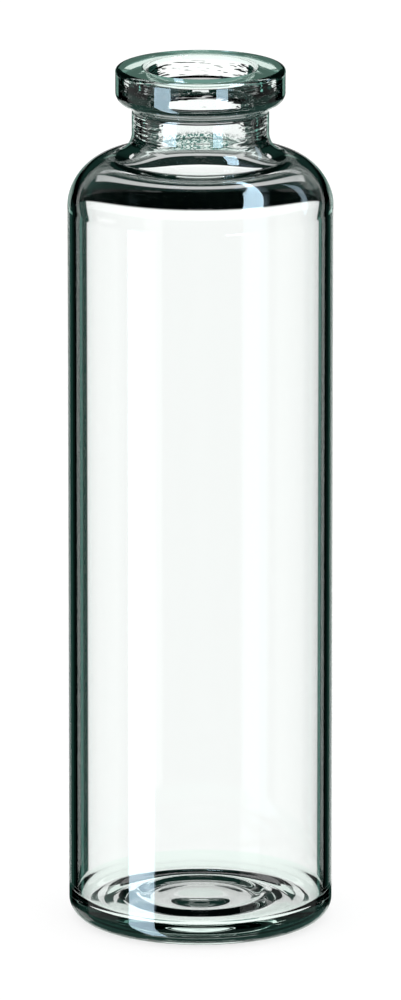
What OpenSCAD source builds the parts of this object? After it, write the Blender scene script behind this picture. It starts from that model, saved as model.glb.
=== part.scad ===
// Crimp-neck headspace vial of clear glass tubing, 50 mL nominal.
// One piece of glass: a straight tube that is drawn in at the top to a neck with a rolled
// crimp flange, and closed at the bottom by a base that keeps the rings of its closing.
// Frame: millimetres, +Z up along the axis of the tube, origin at the centre of the rest plane.

/* [Vial] */
// Overall height, from the rest plane to the lip
height = 102; // [70:0.5:140]
// Outside diameter of the tube
body_d = 31; // [28:0.1:36]
// Wall thickness of the tube
wall = 1; // [0.7:0.05:1.6]

/* [Shoulder] */
// Outside radius of the bend from the tube to the shoulder
shoulder_r = 6.2; // [4:0.1:7]
// Fall of the shoulder away from the neck on the outside, in degrees
shoulder_slope = 9; // [4:0.5:20]
// Outside radius of the hollow between shoulder and neck
neck_fillet_r = 2.6; // [1.5:0.1:4]
// Thickness of the shoulder where its outside bend ends
shoulder_wall = 1.1; // [0.8:0.05:1.6]
// Fall of the shoulder away from the neck on the inside, in degrees
inner_slope = 7.5; // [2:0.5:18]
// Radius on the inside of the bend from the tube to the shoulder
inner_bend_r = 5; // [3:0.1:6]
// Radius on the inside where the shoulder turns up into the bore
throat_r = 3.8; // [2:0.1:5]

/* [Crimp neck] */
// Outside diameter of the neck under the flange
neck_d = 16; // [15.2:0.1:17.4]
// Height of the neck, from the shoulder to the underside of the flange, without their bends
neck_h = 5.4; // [4:0.1:9]
// Outside diameter of the crimp flange
flange_d = 19.8; // [19:0.1:21]
// Height of the crimp flange at its rim
flange_h = 3.7; // [3:0.1:4.6]
// Fall of the flange's underside towards the neck, in degrees
flange_taper = 27; // [0:1:40]
// Radius on the upper edge of the flange
flange_top_r = 0.55; // [0.2:0.05:0.9]
// Radius on the lower edge of the flange
flange_low_r = 1.3; // [0.3:0.05:1.6]
// Radius in the corner between the neck and the flange
flange_root_r = 0.9; // [0.3:0.1:1.4]
// Bore of the neck, which takes the stopper's plug
bore_d = 12.6; // [11.8:0.1:13.2]
// Radius on the inner edge of the lip
mouth_r = 0.5; // [0.2:0.05:0.8]

/* [Base] */
// Outside radius of the heel, between the tube and the rest ring
heel_r = 2.4; // [1.6:0.1:3.4]
// Width of the flat ring that the vial stands on
rest_w = 1.2; // [0.4:0.1:2]
// Height of the underside on the axis
push_up = 0.4; // [0.2:0.05:1.2]
// Radii of the rings on the underside, from the inside out
under_ring_r = [3.8, 7.1, 10.3]; // [2:0.1:12]
// Heights of the rings on the underside
under_ring_z = [0.6, 0.5, 0.1]; // [0:0.05:1.2]
// Radius on the inside between the tube and the floor
floor_corner_r = 1.2; // [0.8:0.1:2.4]
// Height of the floor where it meets its corner
floor_z = 2.65; // [1.8:0.05:3.6]
// Height of the floor on the axis
floor_mid_z = 2.4; // [1.8:0.05:3.6]
// Radii of the rings that closing the tube leaves on the floor, from the inside out
floor_ring_r = [5.8, 7.3, 9.3, 11.9]; // [2:0.1:12.5]
// Heights of the rings on the floor
floor_ring_z = [2.25, 2.65, 2.2, 2.4]; // [1.8:0.05:3.6]

/* [Hidden] */
// Turn of the outline between neighbouring points on a bend, in degrees
bend_step = 6;
// Radial distance between neighbouring points on the floor and the underside
floor_step = 0.35;
// Sides that a viewer draws the round shape with
round_sides = 144;

body_r = body_d / 2;
neck_r = neck_d / 2;
flange_r = flange_d / 2;
bore_r = bore_d / 2;
cavity_r = body_r - wall;

// Corners of the outside, before they are rounded
rim_z = height - flange_h;
root_z = rim_z - (flange_r - neck_r) * tan(flange_taper);
neck_foot_z = root_z - neck_h;
shoulder_z = neck_foot_z - (body_r - neck_r) * tan(shoulder_slope);

// Corners of the inside. Its shoulder line lies under the end of the outside bend.
bend_end_x = body_r - shoulder_r * (1 - sin(shoulder_slope));
bend_end_z = neck_foot_z - (bend_end_x - neck_r) * tan(shoulder_slope);
inner_x = bend_end_x - shoulder_wall * sin(shoulder_slope);
inner_z = bend_end_z - shoulder_wall * cos(shoulder_slope);
throat_z = inner_z + (inner_x - bore_r) * tan(inner_slope);
inner_shoulder_z = inner_z - (cavity_r - inner_x) * tan(inner_slope);

// Least distance from the outermost ring to the edge of its face
ring_margin = 0.8;
// Outer edges of the underside and of the floor. The rings keep their radii while they fit in,
// and draw together in a narrower base.
rest_in_r = body_r - heel_r - rest_w;
floor_r = cavity_r - floor_corner_r;
under_share = min(1, (rest_in_r - ring_margin) / max(under_ring_r));
floor_share = min(1, (floor_r - ring_margin) / max(floor_ring_r));

// The outline from the rest ring over the lip to the floor: each corner as its radius from
// the axis, its height, and the radius that rounds it
corners = [
    [rest_in_r, 0, 0],
    [body_r, 0, heel_r],
    [body_r, shoulder_z, shoulder_r],
    [neck_r, neck_foot_z, neck_fillet_r],
    [neck_r, root_z, flange_root_r],
    [flange_r, rim_z, flange_low_r],
    [flange_r, height, flange_top_r],
    [bore_r, height, mouth_r],
    [bore_r, throat_z, throat_r],
    [cavity_r, inner_shoulder_z, inner_bend_r],
    [cavity_r, floor_z, floor_corner_r],
    [floor_r, floor_z, 0]
];

// A vector of length 1 in the direction of v
function unit(v) = v / norm(v);

// Half of the angle in corner i of the chain c
function half_angle(c, i) = acos(unit(c[i - 1] - c[i]) * unit(c[i + 1] - c[i])) / 2;

// The points of the bend in corner i, which takes up reach on both edges that meet there
function bend(c, i, reach) =
    let (
        before = unit(c[i - 1] - c[i]),
        after = unit(c[i + 1] - c[i]),
        half = half_angle(c, i),
        r = reach * tan(half),
        centre = c[i] + unit(before + after) * r / sin(half),
        start = c[i] + before * reach - centre,
        from = atan2(start[1], start[0]),
        turn = (180 - 2 * half) * sign(cross(after, before)),
        n = ceil(abs(turn) / bend_step)
    )
    [for (k = [0:n]) centre + r * [cos(from + turn * k / n), sin(from + turn * k / n)]];

// The chain with each corner between its ends rounded. Two bends on one edge keep their radius
// while the edge has room for both, and shrink together where it has not.
function rounded(chain) =
    let (
        last = len(chain) - 1,
        c = [for (p = chain) [p[0], p[1]]],
        inner = [for (i = [1:last - 1]) chain[i][2] / tan(half_angle(c, i))],
        reach = [0, each inner, 0],
        room = [for (i = [1:last]) norm(c[i] - c[i - 1]) / (reach[i - 1] + reach[i])]
    )
    [for (i = [1:last - 1]) each bend(c, i, reach[i] * min(1, room[i - 1], room[i]))];

// Height at radius x of a face that is level at each ring and runs smoothly between them
function ring_height(x, r, z) =
    let (
        i = max([for (k = [0:len(r) - 2]) if (k == 0 || x > r[k]) k]),
        share = (x - r[i]) / (r[i + 1] - r[i])
    )
    z[i] + (z[i + 1] - z[i]) * (1 - cos(180 * share)) / 2;

// The points of a face with rings, from the axis out to its edge but without the edge itself
function ringed_face(r, z) =
    let (edge = r[len(r) - 1], n = ceil(edge / floor_step))
    [for (k = [0:n - 1]) [edge * k / n, ring_height(edge * k / n, r, z)]];

// The underside of the base
function underside() =
    ringed_face([0, each under_ring_r * under_share, rest_in_r], [push_up, each under_ring_z, 0]);

// The floor inside
function floor_face() =
    ringed_face([0, each floor_ring_r * floor_share, floor_r], [floor_mid_z, each floor_ring_z, floor_z]);

// Half of the vial's section, on the side of +X
module glass_section() {
    floor_points = floor_face();
    inward = [for (k = [len(floor_points) - 1:-1:0]) floor_points[k]];
    polygon([each underside(), [rest_in_r, 0], each rounded(corners), each inward]);
}

// The glass, turned about the axis
module vial() {
    color([0.83, 0.93, 0.90, 0.35])
        rotate_extrude($fn = round_sides)
            glass_section();
}

vial();
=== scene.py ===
"""A headspace vial of clear glass tubing, with its studio stage.

Laid out as an add-on and run as a script: each piece has its operator, and the sizes and
finishes that someone would change are properties of the scene, shown in the sidebar.
"""

import math

import bmesh
import bpy
from bpy.props import FloatProperty, FloatVectorProperty, IntProperty, PointerProperty
from bpy.types import Operator, Panel, PropertyGroup
from mathutils import Matrix, Vector


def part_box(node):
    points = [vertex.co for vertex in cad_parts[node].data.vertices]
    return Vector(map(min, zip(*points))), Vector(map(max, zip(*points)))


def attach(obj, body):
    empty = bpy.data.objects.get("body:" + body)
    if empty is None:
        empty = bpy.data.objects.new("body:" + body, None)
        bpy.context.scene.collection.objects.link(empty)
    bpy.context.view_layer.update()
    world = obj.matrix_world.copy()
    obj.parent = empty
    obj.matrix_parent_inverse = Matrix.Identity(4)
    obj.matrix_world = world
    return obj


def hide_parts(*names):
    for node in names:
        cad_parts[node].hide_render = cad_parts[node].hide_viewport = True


bl_info = {
    "name": "Headspace Vial",
    "version": (1, 0, 0),
    "blender": (4, 5, 0),
    "location": "3D View > Sidebar > Vial",
    "description": "Makes a crimp-neck headspace vial of clear glass and the stage it stands on",
    "category": "Add Mesh",
}

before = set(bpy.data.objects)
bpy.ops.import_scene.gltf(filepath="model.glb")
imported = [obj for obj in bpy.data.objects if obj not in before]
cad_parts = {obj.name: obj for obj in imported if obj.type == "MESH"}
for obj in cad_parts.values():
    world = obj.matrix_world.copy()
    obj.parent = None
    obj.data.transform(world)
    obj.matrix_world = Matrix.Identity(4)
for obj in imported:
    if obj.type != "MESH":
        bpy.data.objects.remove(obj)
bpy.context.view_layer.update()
VIAL_LOW, VIAL_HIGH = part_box("vial")

MM = 0.001
BLACK = (0.0, 0.0, 0.0, 1.0)
WHITE = (1.0, 1.0, 1.0, 1.0)


# ---------------------------------------------------------------- sizes and finishes

def length(name, description, default, low=0.0001, high=2.0):
    """A size in metres, shown in the scene's units."""
    return FloatProperty(name=name, description=description, default=default,
                         min=low, max=high, unit="LENGTH", precision=4)


def lengths(name, description, default):
    """A few sizes, given in millimetres."""
    return FloatVectorProperty(name=name, description=description, size=len(default),
                               default=[value * MM for value in default],
                               min=0.0, unit="LENGTH", precision=4)


def degrees(name, description, default):
    """An angle, held in radians and shown in degrees."""
    return FloatProperty(name=name, description=description,
                         default=math.radians(default), subtype="ANGLE")


def colour(name, description, default):
    """A linear colour."""
    return FloatVectorProperty(name=name, description=description, default=default,
                               size=3, min=0.0, max=1.0, subtype="COLOR")


class VialSizes(PropertyGroup):
    """The vial's driving dimensions."""
    height: length("Height", "From the rest plane to the lip", VIAL_HIGH.z - VIAL_LOW.z)
    body_radius: length("Tube radius", "Outside radius of the tube",
                        (VIAL_HIGH.x - VIAL_LOW.x) / 2)
    wall: length("Wall", "Thickness of the tube's wall", 1.0 * MM)
    shoulder_radius: length("Shoulder bend", "Outside radius from tube to shoulder", 6.2 * MM)
    shoulder_slope: degrees("Shoulder slope", "Fall of the shoulder on the outside", 9)
    neck_hollow: length("Neck hollow", "Outside radius from shoulder to neck", 2.6 * MM)
    shoulder_wall: length("Shoulder wall", "Thickness where the shoulder's bend ends", 1.1 * MM)
    inner_slope: degrees("Inner slope", "Fall of the shoulder on the inside", 7.5)
    inner_bend: length("Inner bend", "Radius inside from tube to shoulder", 5.0 * MM)
    throat_radius: length("Throat", "Radius inside from shoulder to bore", 3.8 * MM)
    neck_radius: length("Neck radius", "Outside radius of the neck", 8.0 * MM)
    neck_height: length("Neck height", "From the shoulder to the flange, without bends", 5.4 * MM)
    flange_radius: length("Flange radius", "Outside radius of the crimp flange", 9.9 * MM)
    flange_height: length("Flange height", "Height of the flange at its rim", 3.7 * MM)
    flange_taper: degrees("Flange taper", "Fall of the flange's underside to the neck", 27)
    flange_top: length("Flange top edge", "Radius on the flange's upper edge", 0.55 * MM)
    flange_low: length("Flange low edge", "Radius on the flange's lower edge", 1.3 * MM)
    flange_root: length("Flange root", "Radius between neck and flange", 0.9 * MM)
    bore_radius: length("Bore radius", "Radius of the bore that takes the stopper", 6.3 * MM)
    mouth_edge: length("Mouth edge", "Radius on the lip's inner edge", 0.5 * MM)
    heel_radius: length("Heel", "Outside radius between tube and rest ring", 2.4 * MM)
    rest_width: length("Rest ring", "Width of the flat ring that the vial stands on", 1.2 * MM)
    push_up: length("Push-up", "Height of the underside on the axis", 0.4 * MM)
    under_radii: lengths("Underside radii", "Radii of the underside's rings", (3.8, 7.1, 10.3))
    under_levels: lengths("Underside levels", "Heights of the underside's rings", (0.6, 0.5, 0.1))
    floor_corner: length("Floor corner", "Radius inside between tube and floor", 1.2 * MM)
    floor_edge: length("Floor edge", "Height of the floor at its corner", 2.65 * MM)
    floor_middle: length("Floor middle", "Height of the floor on the axis", 2.4 * MM)
    floor_radii: lengths("Floor radii", "Radii of the floor's rings", (5.8, 7.3, 9.3, 11.9))
    floor_levels: lengths("Floor levels", "Heights of the floor's rings", (2.25, 2.65, 2.2, 2.4))
    spin_steps: IntProperty(name="Steps", description="Faces around the axis",
                            default=272, min=24, max=512)


class GlassFinish(PropertyGroup):
    """The glass and the marks that forming leaves in it."""
    ior: FloatProperty(name="IOR", description="Refractive index", default=1.475,
                       min=1.3, max=1.8)
    tint: colour("Tint", "Colour of light that has gone through a thick piece of the glass",
                 (0.60, 0.92, 0.80))
    tint_depth: length("Tint depth", "Path over which the tint is reached", 60 * MM)
    marks: FloatProperty(name="Forming marks", default=0.35, min=0.0, max=1.0,
                         description="Strength of the marks in the neck")


class StudioStage(PropertyGroup):
    """The floor, the light and the camera."""
    floor_radius: length("Floor radius", "Radius of the round floor", 0.7)
    camera_distance: length("Distance", "From the camera to the middle of the vial", 1.4)
    camera_height: degrees("Height angle", "Camera's angle above the level", 14.35)
    scale: FloatProperty(name="Scale", default=8557.0, min=1.0, max=50000.0,
                         description="Image pixels for each metre at the vial")
    aim: length("Aim height", "Height on the axis that the camera looks at", 0.05024)


# ---------------------------------------------------------------- node building

class Wire:
    """A socket that takes part in sums: each operation adds a Math node to its tree."""

    def __init__(self, tree, socket):
        self.tree = tree
        self.socket = socket

    def math(self, operation, *others):
        """This value put through a Math node, with the others as its further inputs."""
        return self.tree.add("ShaderNodeMath", {"operation": operation}, self, *others)

    def __add__(self, other):
        return self.math("ADD", other)

    __radd__ = __add__

    def __rsub__(self, other):
        return self.tree.add("ShaderNodeMath", {"operation": "SUBTRACT"}, other, self)

    def __mul__(self, other):
        return self.math("MULTIPLY", other)

    __rmul__ = __mul__

    def __abs__(self):
        return self.math("ABSOLUTE")

    def outputs(self, *keys):
        """Outputs of the node that this wire comes from, by place or name."""
        return [Wire(self.tree, self.socket.node.outputs[key]) for key in keys]


class Tree:
    """Adds nodes to a material's or world's tree."""

    def __init__(self, node_tree):
        self.node_tree = node_tree
        node_tree.nodes.clear()

    def add(self, kind, settings=None, *inputs, out=0, **named):
        """A node of a kind: its settings are set first, then its sockets by order or name."""
        node = self.node_tree.nodes.new(kind)
        for key, value in (settings or {}).items():
            setattr(node, key, value)
        for index, value in enumerate(inputs):
            self.feed(node.inputs[index], value)
        for key, value in named.items():
            self.feed(node.inputs[key.replace("_", " ")], value)
        return Wire(self, node.outputs[out]) if node.outputs else node

    def feed(self, socket, value):
        """Links a wire to a socket, or sets the socket to a plain value."""
        if isinstance(value, Wire):
            self.node_tree.links.new(value.socket, socket)
        elif value is not None:
            socket.default_value = value

    def step(self, value, low, high):
        """0 where value is under low, 1 where it is over high, and a smooth rise between."""
        return self.add("ShaderNodeMapRange", {"interpolation_type": "SMOOTHSTEP"},
                        value, low, high, 0.0, 1.0)

    def band(self, value, low, high, soft):
        """1 between low and high, with soft edges."""
        rise = self.step(value, low - soft, low + soft)
        fall = self.step(value, high - soft, high + soft)
        return rise * (1 - fall)

    def mix(self, share, first, second):
        """Two colours mixed: the first where share is 0, the second where it is 1."""
        node = self.node_tree.nodes.new("ShaderNodeMix")
        node.data_type = "RGBA"
        self.feed(node.inputs["Factor"], share)
        self.feed(node.inputs[6], first)
        self.feed(node.inputs[7], second)
        return Wire(self, node.outputs[2])

    def parts(self, vector):
        """The x, y and z of a vector."""
        return self.add("ShaderNodeSeparateXYZ", {}, vector).outputs(0, 1, 2)

    def noise(self, place, scale):
        """A smooth noise with the fewest octaves."""
        return self.add("ShaderNodeTexNoise", {"noise_dimensions": "3D"},
                        Vector=place, Scale=scale, Detail=1.0, Roughness=0.6)


# ---------------------------------------------------------------- the vial

# How finely the glass is meshed. An edge over SHORTEST_RUN is a straight run of the section.
UNDERSIDE_POINTS = 60
INNER_FLOOR_POINTS = 80
SHORTEST_RUN = 0.5 * MM
RUN_END = 0.02 * MM
WELD = 0.001 * MM

# The marks that forming leaves in the neck: lines in the bore and grains at its foot, whose dark
# teal tone is painted shade
LINES_SCALE = 500.0
LINES_STRETCH = (1.0, 1.0, 5.0)
LINES_DEPTH = 0.16 * MM
LINES_ASIDE = (3.6 * MM, 4.8 * MM)
LINES_IN_FLANGE = 0.2
GRAINS_SCALE = 3600.0
GRAINS_CUT = (0.46, 0.52)
GRAINS_HEIGHT = 2.6 * MM
GRAINS_REACH = 4.4 * MM
# Painted shade: the grains' dark teal stands in for the dark room that rough glass would show
GRAINS_PAINTED_SHADE = (0.01, 0.06, 0.05, 1.0)


def ringed_face(radii, levels, count):
    """A face from the axis out, level at each ring and smooth between, without its edge."""
    points = []
    for i in range(count):
        r = radii[-1] * i / count
        ring = max(k for k, radius in enumerate(radii[:-1]) if r >= radius)
        share = (r - radii[ring]) / (radii[ring + 1] - radii[ring])
        ease = (1 - math.cos(math.pi * share)) / 2
        points.append((r, levels[ring] + (levels[ring + 1] - levels[ring]) * ease))
    return points


def underside_points(s):
    """The underside, from the axis out to the rest ring."""
    edge = s.body_radius - s.heel_radius - s.rest_width
    return ringed_face([0.0, *s.under_radii, edge], [s.push_up, *s.under_levels, 0.0],
                       UNDERSIDE_POINTS)


def floor_points(s):
    """The floor inside, from the axis out to its corner."""
    edge = s.body_radius - s.wall - s.floor_corner
    return ringed_face([0.0, *s.floor_radii, edge],
                       [s.floor_middle, *s.floor_levels, s.floor_edge],
                       INNER_FLOOR_POINTS)


def corners(s):
    """The section's sharp corners from the rest ring over the lip to the floor.

    Each is radius, height, the radius that rounds it, and the faces that round it.
    """
    outer_fall = math.tan(s.shoulder_slope)
    inner_fall = math.tan(s.inner_slope)
    cavity = s.body_radius - s.wall
    rim = s.height - s.flange_height
    root = rim - (s.flange_radius - s.neck_radius) * math.tan(s.flange_taper)
    neck_foot = root - s.neck_height
    shoulder = neck_foot - (s.body_radius - s.neck_radius) * outer_fall
    bend_end = s.body_radius - s.shoulder_radius * (1 - math.sin(s.shoulder_slope))
    inner_r = bend_end - s.shoulder_wall * math.sin(s.shoulder_slope)
    inner_z = neck_foot - (bend_end - s.neck_radius) * outer_fall \
        - s.shoulder_wall * math.cos(s.shoulder_slope)
    return [
        (s.body_radius - s.heel_radius - s.rest_width, 0.0, 0.0, 0),
        (s.body_radius, 0.0, s.heel_radius, 24),
        (s.body_radius, shoulder, s.shoulder_radius, 32),
        (s.neck_radius, neck_foot, s.neck_hollow, 20),
        (s.neck_radius, root, s.flange_root, 12),
        (s.flange_radius, rim, s.flange_low, 16),
        (s.flange_radius, s.height, s.flange_top, 10),
        (s.bore_radius, s.height, s.mouth_edge, 10),
        (s.bore_radius, inner_z + (inner_r - s.bore_radius) * inner_fall, s.throat_radius, 24),
        (cavity, inner_z - (cavity - inner_r) * inner_fall, s.inner_bend, 28),
        (cavity, s.floor_edge, s.floor_corner, 16),
        (cavity - s.floor_corner, s.floor_edge, 0.0, 0),
    ]


def half_section(bm, s):
    """The vial's half section as one chain of edges from axis to axis, with round corners."""
    sharp = corners(s)
    lower = underside_points(s)
    points = lower + [corner[:2] for corner in sharp] + floor_points(s)[::-1]
    verts = [bm.verts.new((r, 0.0, z)) for r, z in points]
    for a, b in zip(verts, verts[1:]):
        bm.edges.new((a, b))
    turns = []
    for i in range(len(lower), len(lower) + len(sharp)):
        before, here, after = (verts[k].co for k in (i - 1, i, i + 1))
        turns.append((here - before).angle(after - here))
    for i, (corner, turn) in enumerate(zip(sharp, turns), len(lower)):
        radius, segments = corner[2:]
        if radius > 0:
            bmesh.ops.bevel(bm, geom=[verts[i]], offset=radius * math.tan(turn / 2),
                            segments=segments, profile=0.5, affect="VERTICES", material=-1)
    keep_straight(bm)


def keep_straight(bm):
    """Splits each straight run close to its ends, so that smooth shading leaves it straight."""
    for edge in [edge for edge in bm.edges if edge.calc_length() > SHORTEST_RUN]:
        start, end = edge.verts
        share = RUN_END / edge.calc_length()
        rest = bmesh.utils.edge_split(edge, start, share)[0]
        longest = max((edge, rest), key=lambda part: part.calc_length())
        bmesh.utils.edge_split(longest, end, share)


def finished_mesh(name, bm, material):
    """A smooth mesh object with the bmesh's shape and one material."""
    mesh = bpy.data.meshes.new(name)
    bm.to_mesh(mesh)
    bm.free()
    mesh.shade_smooth()
    mesh.materials.append(material)
    piece = bpy.data.objects.new(name, mesh)
    bpy.context.scene.collection.objects.link(piece)
    return piece


def glass_material(finish, s):
    """Clear tubing glass with a faint green depth, and the marks that forming leaves inside; the
    grains' dark teal tone is painted shade.
    """
    material = bpy.data.materials.new("clear_glass")
    material.use_nodes = True
    tree = Tree(material.node_tree)
    place = tree.add("ShaderNodeTexCoord", {}, out=3)
    x, y, z = tree.parts(place)
    radius = (x * x + y * y).math("SQRT")
    rim = s.height - s.flange_height
    neck_foot = rim - s.neck_height

    in_bore = 1 - tree.step(radius, s.bore_radius + 0.3 * MM, s.bore_radius + 0.6 * MM)
    in_bore = in_bore * tree.step(z, neck_foot - 1.5 * MM, neck_foot - 0.5 * MM)
    in_flange = tree.step(z, rim, rim + 0.5 * MM)
    at_sides = tree.step(abs(x), *LINES_ASIDE)
    stretched = tree.add("ShaderNodeVectorMath", {"operation": "MULTIPLY"}, place, LINES_STRETCH)
    lines = tree.noise(stretched, LINES_SCALE) * in_bore * (LINES_IN_FLANGE * in_flange + at_sides)
    bump = tree.add("ShaderNodeBump", {}, Strength=finish.marks, Distance=LINES_DEPTH,
                    Height=lines)

    at_foot = tree.band(z, neck_foot - GRAINS_HEIGHT, neck_foot, 0.3 * MM)
    at_foot = at_foot * (1 - tree.step(radius, s.neck_radius, s.neck_radius + 0.8 * MM))
    at_foot = at_foot * tree.band(x, -GRAINS_REACH, GRAINS_REACH, 1.2 * MM) * tree.step(y, 0.0, MM)
    # The grains are forming marks, and their dark teal tone is painted shade of the dark room
    # around the vial
    grains = tree.step(tree.noise(place, GRAINS_SCALE), *GRAINS_CUT) * at_foot
    grains_with_painted_shade = tree.mix(grains, WHITE, GRAINS_PAINTED_SHADE)

    glass = tree.add("ShaderNodeBsdfPrincipled", {},
                     Base_Color=grains_with_painted_shade, Roughness=0.0, IOR=finish.ior,
                     Transmission_Weight=1.0, Normal=bump)
    depth = tree.add("ShaderNodeVolumeAbsorption", {},
                     Color=(*finish.tint, 1.0), Density=1.0 / finish.tint_depth)
    tree.add("ShaderNodeOutputMaterial", {}, glass, depth)
    return material


class VIAL_OT_glass(Operator):
    """Spin the vial's section into one closed piece of glass"""
    bl_idname = "vial.glass"
    bl_label = "Make the Glass"

    def execute(self, context):
        s = context.scene.vial_sizes
        bm = bmesh.new()
        half_section(bm, s)
        bmesh.ops.spin(bm, geom=bm.verts[:] + bm.edges[:], cent=(0, 0, 0), axis=(0, 0, 1),
                       angle=math.tau, steps=s.spin_steps, use_merge=True,
                       use_normal_flip=False, use_duplicate=False)
        bmesh.ops.remove_doubles(bm, verts=bm.verts[:], dist=WELD)
        bmesh.ops.recalc_face_normals(bm, faces=bm.faces[:])
        if any(len(edge.link_faces) != 2 for edge in bm.edges):
            raise RuntimeError("the glass isn't a closed piece")
        vial = finished_mesh("vial_glass", bm, glass_material(context.scene.vial_glass, s))
        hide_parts("vial")
        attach(vial, "root")
        return {"FINISHED"}


# ---------------------------------------------------------------- the stage

# Linear colours of the studio, as the glass sees them
FAR_TABLE = (0.98, 1.0, 0.988, 1.0)
NEAR_TABLE = (0.92, 1.0, 0.96, 1.0)
NEAR_SHADE = (0.12, 0.24, 0.21, 1.0)
REAR_TABLE = (0.8, 0.82, 0.81, 1.0)
STRIPE = (0.2, 0.5, 0.42, 1.0)
MARGIN = (0.015, 0.05, 0.04, 1.0)
ROOM = (0.006, 0.02, 0.016, 1.0)
RIM = (0.2, 0.35, 0.3, 1.0)
LID = (0.2, 0.38, 0.31, 1.0)
SIDE = (0.35, 0.65, 0.55, 1.0)
SOFTBOX = (0.62, 0.85, 1.0, 1.0)

# Where the studio's parts lie, in degrees as seen from the vial: from, to, and how soft both
# edges are. Bearing 0 is straight behind the vial and 90 to its right, and rise 0 is level.
BEARINGS = {
    "gap": (-9.5, 12.6, 0.5),
    "left": (-104.0, -64.0, 3.0),
    "right": (58.0, 122.0, 3.0),
    "stripes": (44.7, 49.7, 0.6),
    "margins": (9.0, 25.5, 1.0),
    "near": (-29.0, 29.0, 0.5),
    "near left": (-57.0, -33.0, 0.5),
    "foot": (-35.0, 35.0, 1.0),
    "rear": (124.5, 143.5, 0.5),
    "ahead": (-6.5, 6.5, 0.5),
    "beside": (-99.0, -81.0, 0.5),
    "upper": (-20.0, 20.0, 1.0),
    "backs": (165.0, 181.0, 1.0),
    "rims": (6.0, 27.0, 1.0),
    "lid": (-9.0, 9.0, 1.0),
    "sides": (20.0, 33.0, 1.0),
    "upright": (-139.0, -114.5, 0.7),
    "slant": (54.0, 78.0, 2.0),
}
BOTH_SIDES = ("stripes", "margins", "backs", "rims", "sides")
RISES = {
    "edge": (-12.95, -11.8, 0.08),
    "rear": (-19.0, -12.6, 0.3),
    "ahead": (-5.2, -1.0, 0.3),
    "beside": (-6.4, 0.5, 0.3),
    "upper": (22.5, 26.5, 0.5),
    "backs": (42.0, 54.0, 1.0),
    "rims": (-12.0, -1.0, 0.5),
    "lid": (11.3, 13.3, 0.2),
    "sides": (-12.75, -11.0, 0.1),
    "upright": (-60.0, -10.0, 1.0),
    "leaning top": (33.0, 66.0, 1.0),
    "leaning foot": (-12.75, -9.0, 0.1),
}

# Rises between which the studio changes, in degrees
TABLE_END = (-12.04, -11.74)
STRIPES_END = (-12.9, -12.7)
NEAR_END = (-21.3, -18.3)
NEAR_LEFT_START = (-36.0, -33.0)
FOOT_END = (-52.0, -48.0)
ROOM_START = (3.0, 8.0)

# The slanting patch: what a degree of bearing counts for one of rise, and from, to and softness
SLANT_PITCH = 1.35
SLANT_BAND = (106.0, 118.0, 2.0)

# Parts of x, y and z in the leaning softbox's two long edges, and the edges' softness
LEANING_UNDER = (-1.39, -1.34, 1.0)
LEANING_OVER = (2.45, 1.19, -1.0)
LEANING_SOFT = (-0.02, 0.02)

# How bright the studio's parts are
LEFT_SHARE = 0.43
RIGHT_SHARE = 0.2
AHEAD_SHARE = 0.6
LEANING_TOP = 1.6
SOFTBOX_STRENGTH = 12.0
SLANT_STRENGTH = 2.4
BASE_STRENGTH = 1.105
EDGE_STRENGTH = 0.1

# The floor that the vial stands on
FLOOR_PAINT = (0.3, 0.3, 0.3, 1.0)
FLOOR_GLOW = 0.78
FLOOR_SIDES = 96
FLOOR_DROP = 0.02 * MM

# The camera: its image in pixels, its sensor in millimetres and its clipping in metres
IMAGE_HEIGHT = 1000.0
SENSOR_WIDTH = 36.0
CLIP_START = 0.01
CLIP_END = 20.0


def floor_material():
    """A pale floor that takes a soft shadow and runs into the white background."""
    material = bpy.data.materials.new("pale_floor")
    material.use_nodes = True
    tree = Tree(material.node_tree)
    paint = tree.add("ShaderNodeBsdfDiffuse", {}, FLOOR_PAINT)
    glow = tree.add("ShaderNodeEmission", {}, WHITE, FLOOR_GLOW)
    both = tree.add("ShaderNodeAddShader", {}, paint, glow)
    rays = tree.add("ShaderNodeLightPath", {}, out=0)
    seen = tree.add("ShaderNodeMixShader", {}, rays, paint, both)
    tree.add("ShaderNodeOutputMaterial", {}, seen)
    return material


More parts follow.
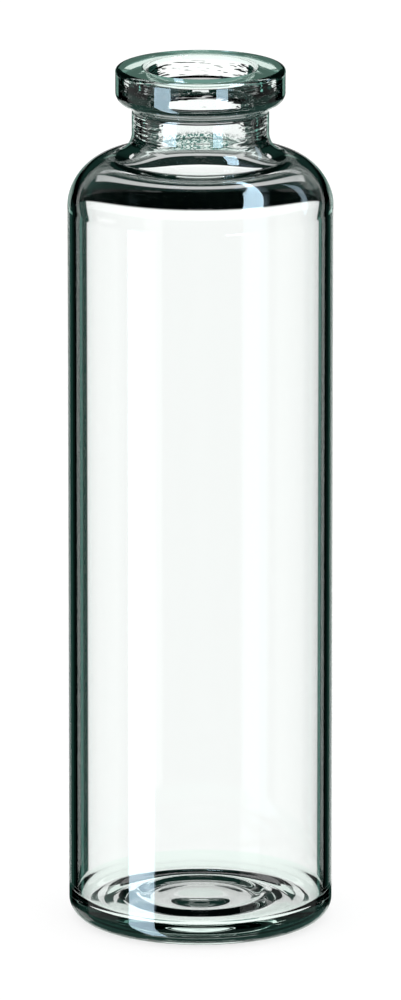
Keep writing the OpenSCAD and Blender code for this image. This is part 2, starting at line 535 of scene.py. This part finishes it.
class Studio(Tree):
    """The world's tree: the direction and the kind of a ray, and what it meets there."""

    def __init__(self, node_tree):
        super().__init__(node_tree)
        self.way = self.parts(self.add("ShaderNodeTexCoord", {}, out=0))
        x, y, z = self.way
        self.bearing = x.math("ARCTAN2", y) * (180 / math.pi)
        self.aside = abs(self.bearing)
        self.rise = z.math("ARCSINE") * (180 / math.pi)
        rays = self.add("ShaderNodeLightPath", {})
        camera_ray, glossy, through = rays.outputs("Is Camera Ray", "Is Glossy Ray",
                                                   "Is Transmission Ray")
        self.from_glass = (glossy + through).math("MINIMUM", 1.0) * (1 - camera_ray)
        self.mirrored = glossy * (1 - through)

    def around(self, name):
        """1 in a named band of bearings, which some have at both sides."""
        bearing = self.aside if name in BOTH_SIDES else self.bearing
        return self.band(bearing, *BEARINGS[name])

    def zone(self, name):
        """1 in a named band of bearings and of rises."""
        return self.around(name) * self.band(self.rise, *RISES[name])

    def beyond(self, plane):
        """1 on the far side of a plane through the vial, given as its parts of x, y and z."""
        x, y, z = (part * share for part, share in zip(self.way, plane))
        return self.step(x + y + z, *LEANING_SOFT)

    def table(self):
        """The table: bright where it shows through the glass, and dark beside that."""
        gap = self.around("gap")
        lit = gap + LEFT_SHARE * self.around("left") + RIGHT_SHARE * self.around("right")
        far = self.mix(lit, BLACK, FAR_TABLE)
        stripes = self.around("stripes") * (1 - self.step(self.rise, *STRIPES_END))
        far = self.mix(stripes * (1 - self.mirrored), far, STRIPE)
        far = self.mix(self.around("margins") * (1 - gap), far, MARGIN)
        lit = self.around("near")
        lit = lit + self.around("near left") * self.step(self.rise, *NEAR_LEFT_START)
        lit = lit + self.around("foot") * (1 - self.step(self.rise, *FOOT_END))
        near = self.mix(lit.math("MINIMUM", 1.0), NEAR_SHADE, NEAR_TABLE)
        table = self.mix(self.step(self.rise, *NEAR_END), near, far)
        return self.mix(self.zone("rear") * (1 - self.mirrored), table, REAR_TABLE)

    def room(self):
        """The dark room over the table, with pale cards that mostly show through the glass."""
        room = self.mix(self.step(self.rise, *ROOM_START), BLACK, ROOM)
        high = (self.zone("upper") + self.zone("backs")) * (1 - self.mirrored)
        cards = AHEAD_SHARE * self.zone("ahead") + self.zone("beside") + high
        room = self.mix(cards.math("MINIMUM", 1.0), room, WHITE)
        room = self.mix(self.zone("rims") * self.mirrored, room, RIM)
        return self.mix(self.zone("lid") * self.mirrored, room, LID)

    def leaning(self):
        """The leaning softbox, whose long edges are planes through the vial."""
        parts = LEANING_TOP * self.band(self.rise, *RISES["leaning top"])
        parts = parts + self.band(self.rise, *RISES["leaning foot"])
        return self.beyond(LEANING_UNDER) * self.beyond(LEANING_OVER) * parts

    def slant(self):
        """The faint patch that slants down to the right."""
        across = self.band(self.rise + SLANT_PITCH * self.bearing, *SLANT_BAND)
        return across * self.around("slant")


def studio_world(world):
    """A white surround to the eye, and to the glass a bright table in a dark room.

    The outside of the glass reflects an upright softbox, a leaning one and a fainter slanting
    patch, all in front of it.
    """
    world.use_nodes = True
    studio = Studio(world.node_tree)
    table = 1 - studio.step(studio.rise, *TABLE_END)
    glow = studio.mix(table, studio.room(), studio.table())
    glow = studio.mix(studio.zone("sides") * studio.mirrored, glow, SIDE)
    upright = studio.zone("upright")
    lamps = SOFTBOX_STRENGTH * (upright + studio.leaning()) + SLANT_STRENGTH * studio.slant()
    lamps = lamps * studio.mirrored
    lit = lamps + upright * (1 - studio.mirrored)
    glow = studio.mix(lit.math("MINIMUM", 1.0), glow, SOFTBOX)
    edge = studio.band(studio.rise, *RISES["edge"])
    pattern = studio.add("ShaderNodeBackground", {}, glow,
                         BASE_STRENGTH + lamps + EDGE_STRENGTH * edge)
    plain = studio.add("ShaderNodeBackground", {}, WHITE, 1.0)
    shown = studio.add("ShaderNodeMixShader", {}, studio.from_glass, plain, pattern)
    studio.add("ShaderNodeOutputWorld", {}, shown)


class VIAL_OT_stage(Operator):
    """Set out the floor, the light and the camera"""
    bl_idname = "vial.stage"
    bl_label = "Set the Stage"

    def execute(self, context):
        stage = context.scene.vial_stage
        bm = bmesh.new()
        bmesh.ops.create_circle(bm, cap_ends=True, segments=FLOOR_SIDES, radius=stage.floor_radius)
        floor = finished_mesh("floor", bm, floor_material())
        floor.data.transform(Matrix.Translation((0, 0, -FLOOR_DROP)))
        floor.visible_transmission = False
        floor.visible_glossy = False

        world = bpy.data.worlds.new("studio")
        context.scene.world = world
        studio_world(world)

        camera_data = bpy.data.cameras.new("camera")
        camera = bpy.data.objects.new("camera", camera_data)
        context.scene.collection.objects.link(camera)
        aim = Vector((0.0, 0.0, stage.aim))
        back = Vector((0.0, -math.cos(stage.camera_height), math.sin(stage.camera_height)))
        camera.location = aim + back * stage.camera_distance
        camera.rotation_euler = (math.pi / 2 - stage.camera_height, 0.0, 0.0)
        camera_data.sensor_width = SENSOR_WIDTH
        camera_data.lens = stage.scale * stage.camera_distance * SENSOR_WIDTH / IMAGE_HEIGHT
        camera_data.clip_start = CLIP_START
        camera_data.clip_end = CLIP_END
        context.scene.camera = camera

        context.scene.view_settings.view_transform = "Standard"
        return {"FINISHED"}


# ---------------------------------------------------------------- the sidebar

class VIAL_PT_panel(Panel):
    """The vial's sizes and finishes, and a button for each piece"""
    bl_label = "Headspace Vial"
    bl_idname = "VIAL_PT_panel"
    bl_space_type = "VIEW_3D"
    bl_region_type = "UI"
    bl_category = "Vial"

    def draw(self, context):
        layout = self.layout
        for group in GROUPS:
            box = layout.box()
            owner = getattr(context.scene, group)
            for name in owner.__annotations__:
                box.prop(owner, name)
        for operator in OPERATORS:
            layout.operator(operator.bl_idname)


GROUPS = {"vial_sizes": VialSizes, "vial_glass": GlassFinish, "vial_stage": StudioStage}
OPERATORS = (VIAL_OT_glass, VIAL_OT_stage)
CLASSES = (*GROUPS.values(), *OPERATORS, VIAL_PT_panel)


def register():
    for cls in CLASSES:
        bpy.utils.register_class(cls)
    for name, group in GROUPS.items():
        setattr(bpy.types.Scene, name, PointerProperty(type=group))


def unregister():
    for name in GROUPS:
        delattr(bpy.types.Scene, name)
    for cls in reversed(CLASSES):
        bpy.utils.unregister_class(cls)


def main():
    """Makes each piece in order."""
    register()
    bpy.ops.vial.glass()
    bpy.ops.vial.stage()


if __name__ == "__main__":
    main()
